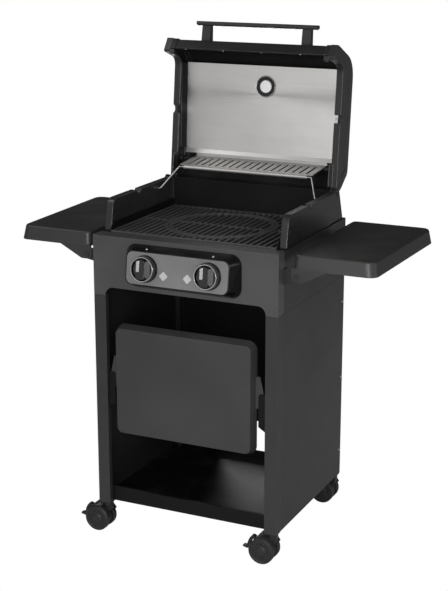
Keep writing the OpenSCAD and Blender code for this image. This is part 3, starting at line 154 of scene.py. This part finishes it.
def finish(name, surface, colour, edge_colour, *, roughness, grain, relief, rounding=0.001, **shader):
    """A material from one surface group. Grain, relief and rounding are the grain's width and height
    and the edges' radius in metres, and shader holds the plain values of its Principled BSDF."""
    material = bpy.data.materials.new(name)
    material.use_nodes = True
    tree = material.node_tree
    principled = tree.nodes["Principled BSDF"]
    for label, value in shader.items():
        principled.inputs[label.replace("_", " ")].default_value = value
    rim = add(tree, "Group", node_tree=edges)
    rim.inputs["Radius"].default_value = rounding
    look = add(tree, "Group", node_tree=surface)
    for label, value in (("Colour", colour), ("Edge Colour", edge_colour), ("Roughness", roughness),
                         ("Grain Size", grain)):
        look.inputs[label].default_value = value
    tree.links.new(rim.outputs["Edge"], look.inputs["Edge"])
    bump = add(tree, "Bump", {"Height": look.outputs["Height"], "Normal": rim.outputs["Normal"],
                              "Distance": relief})
    tree.links.new(look.outputs["Colour"], principled.inputs["Base Color"])
    tree.links.new(look.outputs["Roughness"], principled.inputs["Roughness"])
    tree.links.new(bump.outputs["Normal"], principled.inputs["Normal"])
    return material


def cover(material, *names):
    """Gives these CAD nodes the material."""
    for name in names:
        node = frame["nodes"][name]
        node.data.materials.clear()
        node.data.materials.append(material)


ORANGE_PEEL = dict(grain=0.0007, relief=0.00008)
# Painted light and shade: lighter greys on the fascia and posts where the key falls, darker ones on the
# panels for their shade, and the darkest on the cabinet's inner panels.
lit_fascia_coat = finish("lit_fascia_coat", coat, grey(0.06), grey(0.13), roughness=0.42, **ORANGE_PEEL)
lit_post_coat = finish("lit_post_coat", coat, grey(0.026), grey(0.09), roughness=0.42, **ORANGE_PEEL)
shaded_panel_coat = finish("shaded_panel_coat", coat, grey(0.018, 0.02), grey(0.06), roughness=0.4, **ORANGE_PEEL)
shaded_inner_coat = finish("shaded_inner_coat", coat, grey(0.004, 0.02), grey(0.015), roughness=0.55,
                    Specular_IOR_Level=0.2, **ORANGE_PEEL)
cover(lit_fascia_coat, "front_panel")
cover(lit_post_coat, "left_post", "right_post")
cover(shaded_panel_coat, "left_side_panel", "right_side_panel", "upper_side_panels", "shelf_brackets")
cover(shaded_inner_coat, "rear_panel", "bottom_shelf", "griddle_hangers", "tray_rails")
zinc = finish("zinc_plate", coat, grey(0.6), grey(0.8), roughness=0.3, grain=0.0006, relief=0.00003,
              Metallic=1.0)
cover(zinc, "cart_screws")

# ---- Casters ----
# Four twin-wheel casters, plugged into sockets in the foot of the cart. The sockets, hoods and
# wheels are moulded black nylon with a faint mould texture, and the front pair has brake pedals.
CORNERS = ("front_left", "front_right", "rear_left", "rear_right")
nylon = finish("black_nylon", coat, grey(0.012), grey(0.03), roughness=0.42, grain=0.0005, relief=0.00006,
               rounding=0.0012)
wheel_nylon = finish("wheel_nylon", coat, grey(0.016), grey(0.05), roughness=0.5, grain=0.0004,
                     relief=0.00008, rounding=0.0008)
cover(nylon, "caster_sockets", "brake_left", "brake_right", *("caster_" + corner for corner in CORNERS))
cover(wheel_nylon, *("wheels_" + corner for corner in CORNERS))

# ---- Firebox ----
# A pressed tub in black enamel between two painted aluminium castings. Galvanised flame tamers
# shield the burners, and a tray on rails under the tub carries the grease cup.
enamel = finish("black_enamel", coat, grey(0.004), grey(0.015), roughness=0.4, grain=0.0011, relief=0.0001,
                Specular_IOR_Level=0.25)
# Painted highlight: the castings' pale edge colour stands in for the gloss along their rounded rims.
casting_paint = finish("casting_paint", coat, grey(0.02), grey(0.11), roughness=0.3, grain=0.0006,
                       relief=0.00012, rounding=0.004)
galvanised = finish("galvanised_steel", coat, grey(0.42), grey(0.6), roughness=0.42, grain=0.004,
                    relief=0.00002, Metallic=1.0)
cover(enamel, "firebox", "grease_tray", "grease_cup")
cover(casting_paint, "firebox_left_casting", "firebox_right_casting")
cover(galvanised, "flame_tamers")

# ---- Grates ----
# Two half grates, a round insert and a griddle plate, cast in grey iron and enamelled matt
# black. The cast surface is pebbled, and the bars' edges are paler where food slides over them.
cast_iron = finish("enamelled_iron", coat, grey(0.065), grey(0.16), roughness=0.36, grain=0.0009,
                   relief=0.0002, rounding=0.0015)
griddle_iron = finish("griddle_iron", coat, grey(0.036), grey(0.08), roughness=0.42, grain=0.0008,
                      relief=0.00016, rounding=0.002)
cover(cast_iron, "grate_left", "grate_right", "grate_round")
cover(griddle_iron, "griddle_plate")

# ---- Burners and lid liner ----
# The burners and the lid's liner are thin stainless sheet. It has the mill's brushing along its
# length, and heat has left faint clouds on it.
STREAK_LENGTH = 0.25
STREAK_WIDTH = 1 / 900


def brushed_metal():
    """Long thin streaks from side to side, faint clouds, and a painted highlight along the edges."""
    group, given, result = shader_group("brushed_metal", SURFACE_IN, SURFACE_OUT)
    place = add(group, "TexCoord").outputs["Object"]
    across = calc(group, "DIVIDE", 1.0, given["Grain Size"])
    stretch = add(group, "CombineXYZ", {"X": 1 / STREAK_LENGTH, "Y": across, "Z": across}).outputs[0]
    streak = noise(group, add(group, "Mapping", {"Vector": place, "Scale": stretch}).outputs[0], 1.0, 3.0)
    cloud = noise(group, place, 4.0, 5.0, 0.65)
    tone = calc(group, "MULTIPLY", remap(group, streak, 0.25, 0.75, 0.95, 1.04),
                remap(group, cloud, 0.3, 0.7, 0.93, 1.06))
    shade = toned(group, given["Colour"], tone)
    # Painted highlight: the edges are blended towards the paler edge colour.
    bright = calc(group, "MULTIPLY", given["Edge"], 0.6)
    group.links.new(blend_colours(group, bright, shade, given["Edge Colour"]), result["Colour"])
    group.links.new(calc(group, "ADD", given["Roughness"], remap(group, streak, 0.2, 0.8, -0.08, 0.1)),
                    result["Roughness"])
    group.links.new(streak, result["Height"])
    return group


brushed = brushed_metal()
stainless = finish("brushed_stainless", brushed, grey(0.66, 0.02), grey(0.8), roughness=0.42,
                   grain=STREAK_WIDTH, relief=0.000008, Metallic=1.0, Anisotropic=0.4)
cover(stainless, "lid_liner", "burners")

# ---- Lid ----
# The lid's sheet is pressed steel in black enamel, held between two end castings that turn on
# black zinc pins. The handle is a painted bar on two posts, and the screws are zinc plated.
lid_enamel = finish("lid_enamel", coat, grey(0.014), grey(0.05), roughness=0.36, grain=0.0008,
                    relief=0.00008)
handle_paint = finish("handle_paint", coat, grey(0.022), grey(0.05), roughness=0.4, grain=0.0006,
                      relief=0.00008, rounding=0.002)
black_zinc = finish("black_zinc", coat, grey(0.09), grey(0.2), roughness=0.38, grain=0.0006,
                    relief=0.00003, Metallic=1.0)
cover(lid_enamel, "lid_shell")
cover(casting_paint, "lid_left_end", "lid_right_end")
cover(handle_paint, "lid_handle")
cover(zinc, "lid_screws")
cover(black_zinc, "pivot_pins")

# ---- Warming rack ----
# A slotted stainless rack that hangs from two black brackets in the lid and stands on two bent
# wire legs, zinc plated, which turn in the firebox castings.
rack_steel = finish("rack_steel", brushed, grey(0.66, 0.02), grey(0.9), roughness=0.5,
                    grain=STREAK_WIDTH, relief=0.00001, Metallic=1.0)
cover(rack_steel, "warming_rack")
cover(zinc, "rack_legs")
cover(nylon, "rack_brackets")

# ---- Temperature gauge ----
# A bimetal dial in a chromed case that passes through the lid. The white dial faces outwards
# behind a glass, and inside the lid a dark ring of painted reflection, for the chrome's dark mirroring, lies
# round a bright nut.
chrome = finish("chrome_plate", coat, grey(0.75), grey(0.85), roughness=0.1, grain=0.002, relief=0.00001,
                Metallic=1.0)
glass = finish("gauge_glass", coat, (0.95, 0.97, 0.97, 1), (1, 1, 1, 1), roughness=0.03, grain=0.004,
               relief=0.000002, Transmission_Weight=1.0, IOR=1.45)
needle_paint = finish("needle_paint", coat, (0.45, 0.03, 0.01, 1), (0.5, 0.1, 0.06, 1), roughness=0.4,
                      grain=0.0005, relief=0.00002)
cover(chrome, "gauge_case")
cover(glass, "gauge_glass")
cover(needle_paint, "gauge_needle")


def on_axis(place, axis, up):
    """A placement with its origin at place, z along the axis, and y towards up."""
    z = Vector(axis).normalized()
    x = Vector(up).cross(z).normalized()
    return Matrix.Translation(place) @ Matrix((x, z.cross(x), z)).transposed().to_4x4()


def turned(mesh, profile, steps=64):
    """Turns (radius, height) points about z, as a solid where they end on the axis, else as a ring."""
    ring_closes = profile[0][0] > 0
    angles = [2 * math.pi * step / steps for step in range(steps)]
    rings = [[mesh.verts.new((r * math.cos(a), r * math.sin(a), z)) for r, z in profile] for a in angles]
    for ring, after in zip(rings, rings[1:] + rings[:1]):
        for i in range(len(profile) - (not ring_closes)):
            j = (i + 1) % len(profile)
            mesh.faces.new((ring[i], ring[j], after[j], after[i]))
    bmesh.ops.remove_doubles(mesh, verts=mesh.verts, dist=1e-7)


def piece(name, mesh, place, material, body):
    """A new piece that rides on a body and takes the given material."""
    bmesh.ops.recalc_face_normals(mesh, faces=mesh.faces)
    data = bpy.data.meshes.new(name)
    mesh.to_mesh(data)
    mesh.free()
    data.materials.append(material)
    made = bpy.data.objects.new(name, data)
    bpy.context.scene.collection.objects.link(made)
    made.matrix_world = place
    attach(made, body)
    return made


TICKS_PER_TURN = 40
TICK_SHARE = 0.28
SCALE_HALF_ANGLE = 2.4
TICK_FROM = 0.0195
TICK_TO = 0.0235
INK = (0.02, 0.02, 0.022, 1)


def dial_ticks():
    """Ink on short marks round a dial, all round but for its foot."""
    group, given, result = shader_group("dial_ticks", [("Inner", "Float", TICK_FROM),
                                                       ("Outer", "Float", TICK_TO)], [("Ink", "Float")])
    place = add(group, "TexCoord").outputs["Object"]
    at = add(group, "SeparateXYZ", {0: place}).outputs
    radius = add(group, "VectorMath", {0: place}, operation="LENGTH").outputs["Value"]
    turn = calc(group, "ARCTAN2", at["X"], at["Y"])
    step = calc(group, "FRACT", calc(group, "MULTIPLY", turn, TICKS_PER_TURN / (2 * math.pi)))
    from_middle = calc(group, "ABSOLUTE", calc(group, "SUBTRACT", step, 0.5))
    on_tick = calc(group, "GREATER_THAN", from_middle, 0.5 - TICK_SHARE / 2)
    in_band = calc(group, "MULTIPLY", calc(group, "GREATER_THAN", radius, given["Inner"]),
                   calc(group, "LESS_THAN", radius, given["Outer"]))
    on_scale = calc(group, "LESS_THAN", calc(group, "ABSOLUTE", turn), SCALE_HALF_ANGLE)
    group.links.new(calc(group, "MULTIPLY", calc(group, "MULTIPLY", on_tick, in_band), on_scale),
                    result["Ink"])
    return group


dial_white = finish("dial_white", coat, grey(0.75), grey(0.8), roughness=0.35, grain=0.0006,
                    relief=0.000004)
tree = dial_white.node_tree
base_colour = tree.nodes["Principled BSDF"].inputs["Base Color"]
bare = base_colour.links[0].from_socket
ink = add(tree, "Group", node_tree=dial_ticks()).outputs["Ink"]
tree.links.new(blend_colours(tree, ink, bare, INK), base_colour)

# Heights on the gauge count outwards from the case's sunk face, on the needle's axis
joints = {joint["name"]: joint for joint in frame["joints"]}
needle = joints["gauge_needle_turn"]
gauge = on_axis(needle["pos_m"], needle["axis"], (0, 0, 1))


def gauge_piece(name, profile, foot, material):
    """A piece that is round about the gauge's axis, from its (radius, height) points over a foot."""
    mesh = bmesh.new()
    turned(mesh, [(radius, foot + height) for radius, height in profile])
    piece(name, mesh, gauge, material, "lid")


DIAL_PROFILE = [(0, 0.00005), (0.0254, 0.00005), (0.0254, 0.00018), (0, 0.00018)]
gauge_piece("gauge_dial", DIAL_PROFILE, 0, dial_white)

# At the inner end the case's rim stands out past a flat, from which these heights count
CASE_RIM = 0.001
DARK_REFLECTION_PROFILE = [(0.0186, 0.0006), (0.028, 0.0002), (0.0284, 0.0029), (0.0186, 0.0029)]
NUT_PROFILE = [(0, -0.0012), (0.017, -0.0012), (0.018, -0.0002), (0.018, 0.00095), (0, 0.00095)]
to_gauge = gauge.inverted()
rim_end = min((to_gauge @ vertex.co).z for vertex in frame["nodes"]["gauge_case"].data.vertices)
# Painted reflection: a glossy near-black ring on the case's flat stands for the dark mirroring in its
# chrome.
dark_reflection_paint = finish("gauge_dark_reflection", coat, grey(0.006), grey(0.02), roughness=0.25, grain=0.0006, relief=0.00002)
nut_face = finish("gauge_nut_face", coat, grey(0.9), grey(0.95), roughness=0.3, grain=0.0006,
                  relief=0.00001)
gauge_piece("gauge_dark_reflection_ring", DARK_REFLECTION_PROFILE, rim_end + CASE_RIM, dark_reflection_paint)
gauge_piece("gauge_nut_cap", NUT_PROFILE, rim_end + CASE_RIM, nut_face)

# ---- Console ----
# A moulded housing over the valves with a grey face plate pressed on, on which two small signs
# mark the burners. Behind it are brass valves, a galvanised manifold and ceramic electrodes.
console_black = finish("console_black", coat, grey(0.003), grey(0.02), roughness=0.25, grain=0.0006,
                       relief=0.00003, rounding=0.003, Specular_IOR_Level=0.35)
console_grey = finish("console_grey", coat, grey(0.175), grey(0.2), roughness=0.38, grain=0.0006,
                      relief=0.00003)
sign_grey = finish("sign_grey", coat, grey(0.5), grey(0.55), roughness=0.4, grain=0.0006, relief=0.00001)
brass = finish("brass", coat, (0.55, 0.38, 0.13, 1), (0.7, 0.5, 0.2, 1), roughness=0.3, grain=0.0008,
               relief=0.00003, Metallic=1.0)
ceramic = finish("ceramic", coat, (0.8, 0.78, 0.72, 1), (0.85, 0.83, 0.8, 1), roughness=0.3,
                 grain=0.0006, relief=0.00003)
cover(console_black, "control_housing")
cover(brass, "valves")
cover(galvanised, "manifold")
cover(ceramic, "electrodes")
knob_turns = {side: joints[side + "_knob_turn"] for side in ("left", "right")}
knob_x = {side: turn["pos_m"][0] for side, turn in knob_turns.items()}
console_face = on_axis((0, *knob_turns["left"]["pos_m"][1:]), knob_turns["left"]["axis"], (0, 0, 1))


def flat_piece(name, outlines, low, high, material):
    """A flat piece on the console's face. The outlines are lists of (x, y): its own, then its holes'."""
    shape = bpy.data.curves.new(name, "CURVE")
    shape.dimensions = "2D"
    shape.fill_mode = "BOTH"
    shape.extrude = (high - low) / 2
    for outline in outlines:
        line = shape.splines.new("POLY")
        line.points.add(len(outline) - 1)
        line.use_cyclic_u = True
        for point, (x, y) in zip(line.points, outline):
            point.co = (x, y, 0, 1)
    drawn = bpy.data.objects.new(name + "_drawn", shape)
    mesh = bmesh.new()
    mesh.from_mesh(drawn.to_mesh())
    bpy.data.objects.remove(drawn)
    bmesh.ops.remove_doubles(mesh, verts=mesh.verts, dist=1e-7)
    return piece(name, mesh, console_face @ Matrix.Translation((0, 0, (low + high) / 2)), material, "cart")


def round_outline(x, y, radius, lobe=0.0, steps=48):
    """A circle's points, or with a lobe those of a clover with four leaves."""
    turns = [2 * math.pi * i / steps for i in range(steps)]
    reach = [radius + lobe * math.cos(4 * a) for a in turns]
    return [(x + r * math.cos(a), y + r * math.sin(a)) for r, a in zip(reach, turns)]


def round_rectangle(width, height, radius, steps=8):
    """A rectangle's points, with round corners."""
    x, y = width / 2 - radius, height / 2 - radius
    corners = [(x, y, 0), (-x, y, 1), (-x, -y, 2), (x, -y, 3)]
    return [(x + radius * math.cos(math.pi / 2 * (quarter + i / steps)),
             y + radius * math.sin(math.pi / 2 * (quarter + i / steps)))
            for x, y, quarter in corners for i in range(steps + 1)]


PLATE_WIDTH = 0.304
PLATE_HEIGHT = 0.0885
PLATE_CORNER = 0.017
PLATE_HEIGHTS = (0.00002, 0.0004)
BEZEL_ROOM = 0.0376
flat_piece("console_plate", [round_rectangle(PLATE_WIDTH, PLATE_HEIGHT, PLATE_CORNER),
                             *(round_outline(x, 0, BEZEL_ROOM) for x in knob_x.values())],
           *PLATE_HEIGHTS, console_grey)

SIGN_X = {"left": -0.039, "right": 0.033}
SIGN_DROP = 0.0145
SIGN_RADIUS = 0.0106
SIGN_LOBE = 0.0014
SIGN_HEIGHTS = (0.00045, 0.0006)
for side, x in SIGN_X.items():
    flat_piece(f"burner_sign_{side}", [round_outline(x, -SIGN_DROP, SIGN_RADIUS, SIGN_LOBE)],
               *SIGN_HEIGHTS, sign_grey)

# ---- Knobs ----
# Glossy black phenolic knobs, pushed on to steel valve stems and set in glossy bezels. Each has
# a chromed ring on its rim, and a chromed bar on one side of its grip.
knob_gloss = finish("knob_gloss", coat, grey(0.004), grey(0.01), roughness=0.16, grain=0.002,
                    relief=0.00001, rounding=0.0012, Coat_Weight=0.6, Coat_Roughness=0.05)
trim_chrome = finish("trim_chrome", coat, grey(0.9), grey(0.95), roughness=0.22, grain=0.002,
                     relief=0.000002, rounding=0.0002, Metallic=1.0)
cover(knob_gloss, "knob_left", "knob_right", "knob_bezels")
cover(zinc, "valve_stem_left", "valve_stem_right")
RIM_TOP = 0.0215
GRIP_TOP = 0.0305
TRIM_LIFT = 0.00002
RING_HEIGHT = 0.0012
BAR_HEIGHT = 0.001
RING_PROFILE = [(0.0313, TRIM_LIFT), (0.0337, TRIM_LIFT), (0.0333, RING_HEIGHT), (0.0318, RING_HEIGHT)]
BAR_OUTLINE = [(-0.0118, -0.006), (-0.0035, -0.006), (-0.0035, 0.0245), (-0.0118, 0.0215)]


def grip_bar(mesh):
    """The bar that lies along the left edge of the grip."""
    rows = [[mesh.verts.new((x, y, GRIP_TOP + height)) for x, y in BAR_OUTLINE]
            for height in (TRIM_LIFT, BAR_HEIGHT)]
    for row in rows:
        mesh.faces.new(row)
    for i in range(len(BAR_OUTLINE)):
        j = (i + 1) % len(BAR_OUTLINE)
        mesh.faces.new((rows[0][i], rows[0][j], rows[1][j], rows[1][i]))


for side, turn in knob_turns.items():
    mesh = bmesh.new()
    turned(mesh, [(radius, RIM_TOP + height) for radius, height in RING_PROFILE])
    grip_bar(mesh)
    place = on_axis(turn["pos_m"], turn["axis"], (0, 0, 1))
    bright = piece(f"knob_{side}_bright", mesh, place, trim_chrome, side + "_knob")
    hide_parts(f"knob_{side}_trim")

# ---- Side shelves ----
# Each shelf is a pressed steel tray, powder coated black with a finer grain, that folds down on
# two pins in its gussets.
shelf_coat = finish("shelf_coat", coat, grey(0.03, 0.02), grey(0.07), roughness=0.42, grain=0.0006,
                    relief=0.0001, rounding=0.0025)
cover(shelf_coat, "left_shelf", "right_shelf")

# ---- Floor and surround ----
# A plain white floor that meets a white surround. Both are pure white to the camera. To all
# other light the floor is matt, and the surround is a wall that is bright in front alone.


def seen_directly(tree):
    """1 where the camera looks straight at a surface or through glass, else 0."""
    path = add(tree, "LightPath").outputs
    return calc(tree, "MAXIMUM", path["Is Camera Ray"], path["Is Transmission Ray"])


FLOOR_HALF = 20.0
floor = bpy.data.objects.new("floor", bpy.data.meshes.new("floor"))
bpy.context.scene.collection.objects.link(floor)
corners = [(x * FLOOR_HALF, y * FLOOR_HALF, 0) for x, y in ((-1, -1), (1, -1), (1, 1), (-1, 1))]
floor.data.from_pydata(corners, [], [(0, 1, 2, 3)])
floor_white = bpy.data.materials.new("floor_white")
floor_white.use_nodes = True
tree = floor_white.node_tree
matt_white = tree.nodes["Principled BSDF"]
matt_white.inputs["Base Color"].default_value = (0.82, 0.82, 0.82, 1)
matt_white.inputs["Roughness"].default_value = 0.8
matt_white.inputs["Specular IOR Level"].default_value = 0.1
glow = add(tree, "Emission", {"Color": (1, 1, 1, 1), "Strength": 1.0})
shine = add(tree, "MixShader", {0: seen_directly(tree), 1: matt_white.outputs[0], 2: glow.outputs[0]})
tree.links.new(shine.outputs[0], tree.nodes["Material Output"].inputs["Surface"])
floor.data.materials.append(floor_white)

# The front wall is brightest in this direction and fades out to the sides
WALL_DIRECTION = (0.33, -0.93, 0.12)
world = bpy.data.worlds.new("studio")
bpy.context.scene.world = world
world.use_nodes = True
tree = world.node_tree
background = tree.nodes["Background"]
background.inputs["Color"].default_value = (1, 1, 1, 1)
direction = add(tree, "TexCoord").outputs["Generated"]
toward = add(tree, "VectorMath", {0: direction, 1: WALL_DIRECTION}, operation="DOT_PRODUCT").outputs["Value"]
front_wall = remap(tree, toward, 0.1, 1.0, 0.05, 0.9)
strength = add(tree, "Mix", {0: seen_directly(tree), 2: front_wall, 3: 1.0}).outputs[0]
tree.links.new(strength, background.inputs["Strength"])

# ---- Light and camera ----
# One soft key from the front, weak fills from the right and the top left, and a light from behind
# for the rear edges. The camera stands to the right and looks down on the work surface.


def lamp(name, place, target, size, power):
    """A square soft light that faces the target."""
    light = bpy.data.lights.new(name, "AREA")
    light.size = size
    light.energy = power
    holder = bpy.data.objects.new(name, light)
    bpy.context.scene.collection.objects.link(holder)
    holder.location = place
    holder.rotation_euler = (Vector(target) - Vector(place)).to_track_quat("-Z", "Y").to_euler()


lamp("key", (0.9, -2.4, 1.15), (0, 0, 0.75), size=0.9, power=28)
lamp("side", (3.2, 0.2, 1.4), (0, 0, 0.7), size=0.9, power=8)
lamp("top", (-1.5, -0.5, 2.4), (-0.2, 0, 0.9), size=1.0, power=9)
lamp("back", (-1.2, 2.8, 0.5), (0, 0, 0.8), size=0.8, power=26)

# The camera's place counts from the middle of the fascia's front edge, at working height
CAMERA_PLACE = (1.6624, -3.2893, 0.8784)
CAMERA_TURN = 25.095
CAMERA_TILT = 15.504
CAMERA_LENS = 85.65
front_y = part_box("front_panel")[0].y
work_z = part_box("front_panel")[1].z
camera_data = bpy.data.cameras.new("camera")
camera_data.lens = CAMERA_LENS
camera_data.sensor_width = 36
camera_data.sensor_fit = "AUTO"
camera = bpy.data.objects.new("camera", camera_data)
bpy.context.scene.collection.objects.link(camera)
camera.location = Vector(CAMERA_PLACE) + Vector((0, front_y, work_z))
camera.rotation_euler = (math.radians(90 - CAMERA_TILT), 0, math.radians(CAMERA_TURN))
bpy.context.scene.camera = camera
bpy.context.scene.view_settings.view_transform = "Standard"
